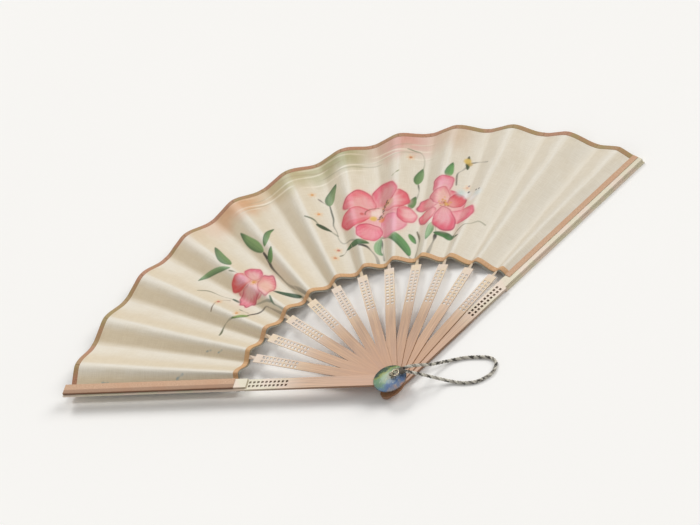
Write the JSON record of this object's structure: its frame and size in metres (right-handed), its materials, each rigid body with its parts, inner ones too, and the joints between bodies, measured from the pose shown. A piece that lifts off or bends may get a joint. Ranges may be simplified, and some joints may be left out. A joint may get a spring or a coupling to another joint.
{
  "type": "folding hand fan",
  "caption": "Folding hand fan with a pleated cloth leaf on pierced wooden sticks between two guards, with a shell disc at the rivet and a wrist cord loop.",
  "frame": {"origin": "on the rivet's axis, at the rear face that the open fan lies on", "axes": "+Z along the rivet's axis, from the rear face to the painted face; +Y from the rivet along the middle stick; +X to the right as the painted face is seen"},
  "size_m": [0.391, 0.2366, 0.0149],
  "materials": {
    "silk": "thin cream satin silk, painted with pink flowers and green leaves",
    "stick_wood": "light tan wood, satin",
    "guard_wood": "pale tan wood, satin",
    "rivet_metal": "dull silver metal",
    "shell": "iridescent green and blue shell, polished",
    "whipping": "dark thread binding",
    "cord": "twisted silver and white cord with dark flecks"
  },
  "bodies": {
    "rear_guard": {"rear_guard": "guard_wood", "rivet_pin": "rivet_metal", "rear_washer": "rivet_metal", "shell_disc": "shell", "cord_eye": "rivet_metal"},
    "stick_11": {"stick_11": "stick_wood", "leaf_panel_11": "silk", "leaf_fold_11": "silk"},
    "stick_10": {"stick_10": "stick_wood", "leaf_panel_10": "silk", "leaf_fold_10": "silk"},
    "stick_9": {"stick_9": "stick_wood", "leaf_panel_9": "silk", "leaf_fold_9": "silk"},
    "stick_8": {"stick_8": "stick_wood", "leaf_panel_8": "silk", "leaf_fold_8": "silk"},
    "stick_7": {"stick_7": "stick_wood", "leaf_panel_7": "silk", "leaf_fold_7": "silk"},
    "stick_6": {"stick_6": "stick_wood", "leaf_panel_6": "silk", "leaf_fold_6": "silk"},
    "stick_5": {"stick_5": "stick_wood", "leaf_panel_5": "silk", "leaf_fold_5": "silk"},
    "stick_4": {"stick_4": "stick_wood", "leaf_panel_4": "silk", "leaf_fold_4": "silk"},
    "stick_3": {"stick_3": "stick_wood", "leaf_panel_3": "silk", "leaf_fold_3": "silk"},
    "stick_2": {"stick_2": "stick_wood", "leaf_panel_2": "silk", "leaf_fold_2": "silk"},
    "stick_1": {"stick_1": "stick_wood", "leaf_panel_1": "silk", "leaf_fold_1": "silk"},
    "front_guard": {"front_guard": "guard_wood", "leaf_panel_0": "silk", "leaf_fold_0": "silk"},
    "wrist_cord": {"cord_ring": "rivet_metal", "cord_collar": "whipping", "wrist_cord": "cord"}
  },
  "joints": [
    {"name": "stick_11_fan", "type": "hinge", "parent": "rear_guard", "child": "stick_11", "pos_m": [0, 0, 0], "axis": [0, 0, 1], "range_deg": [-3.65, 0.14], "deforming": ["leaf_fold_11"]},
    {"name": "stick_10_fan", "type": "hinge", "parent": "stick_11", "child": "stick_10", "pos_m": [0, 0, 0], "axis": [0, 0, 1], "range_deg": [-10.5, 0.4], "deforming": ["leaf_fold_10"]},
    {"name": "stick_9_fan", "type": "hinge", "parent": "stick_10", "child": "stick_9", "pos_m": [0, 0, 0], "axis": [0, 0, 1], "range_deg": [-10.5, 0.4], "deforming": ["leaf_fold_9"]},
    {"name": "stick_8_fan", "type": "hinge", "parent": "stick_9", "child": "stick_8", "pos_m": [0, 0, 0], "axis": [0, 0, 1], "range_deg": [-10.5, 0.4], "deforming": ["leaf_fold_8"]},
    {"name": "stick_7_fan", "type": "hinge", "parent": "stick_8", "child": "stick_7", "pos_m": [0, 0, 0], "axis": [0, 0, 1], "range_deg": [-10.5, 0.4], "deforming": ["leaf_fold_7"]},
    {"name": "stick_6_fan", "type": "hinge", "parent": "stick_7", "child": "stick_6", "pos_m": [0, 0, 0], "axis": [0, 0, 1], "range_deg": [-10.5, 0.4], "deforming": ["leaf_fold_6"]},
    {"name": "stick_5_fan", "type": "hinge", "parent": "stick_6", "child": "stick_5", "pos_m": [0, 0, 0], "axis": [0, 0, 1], "range_deg": [-10.5, 0.4], "deforming": ["leaf_fold_5"]},
    {"name": "stick_4_fan", "type": "hinge", "parent": "stick_5", "child": "stick_4", "pos_m": [0, 0, 0], "axis": [0, 0, 1], "range_deg": [-10.5, 0.4], "deforming": ["leaf_fold_4"]},
    {"name": "stick_3_fan", "type": "hinge", "parent": "stick_4", "child": "stick_3", "pos_m": [0, 0, 0], "axis": [0, 0, 1], "range_deg": [-10.5, 0.4], "deforming": ["leaf_fold_3"]},
    {"name": "stick_2_fan", "type": "hinge", "parent": "stick_3", "child": "stick_2", "pos_m": [0, 0, 0], "axis": [0, 0, 1], "range_deg": [-10.5, 0.4], "deforming": ["leaf_fold_2"]},
    {"name": "stick_1_fan", "type": "hinge", "parent": "stick_2", "child": "stick_1", "pos_m": [0, 0, 0], "axis": [0, 0, 1], "range_deg": [-10.5, 0.4], "deforming": ["leaf_fold_1"]},
    {"name": "front_guard_fan", "type": "hinge", "parent": "stick_1", "child": "front_guard", "pos_m": [0, 0, 0], "axis": [0, 0, 1], "range_deg": [-10.9, 0.42], "deforming": ["leaf_fold_0"]},
    {"name": "cord_swing", "type": "hinge", "parent": "rear_guard", "child": "wrist_cord", "pos_m": [0.0022, 0, 0.013], "axis": [0, -1, 0], "range_deg": [0, 120]}
  ],
  "couplings": [
    {"joint": "stick_11_fan", "follows": "stick_6_fan", "ratio": 0.34762},
    {"joint": "stick_10_fan", "follows": "stick_6_fan", "ratio": 1},
    {"joint": "stick_9_fan", "follows": "stick_6_fan", "ratio": 1},
    {"joint": "stick_8_fan", "follows": "stick_6_fan", "ratio": 1},
    {"joint": "stick_7_fan", "follows": "stick_6_fan", "ratio": 1},
    {"joint": "stick_5_fan", "follows": "stick_6_fan", "ratio": 1},
    {"joint": "stick_4_fan", "follows": "stick_6_fan", "ratio": 1},
    {"joint": "stick_3_fan", "follows": "stick_6_fan", "ratio": 1},
    {"joint": "stick_2_fan", "follows": "stick_6_fan", "ratio": 1},
    {"joint": "stick_1_fan", "follows": "stick_6_fan", "ratio": 1},
    {"joint": "front_guard_fan", "follows": "stick_6_fan", "ratio": 1.0381}
  ]
}
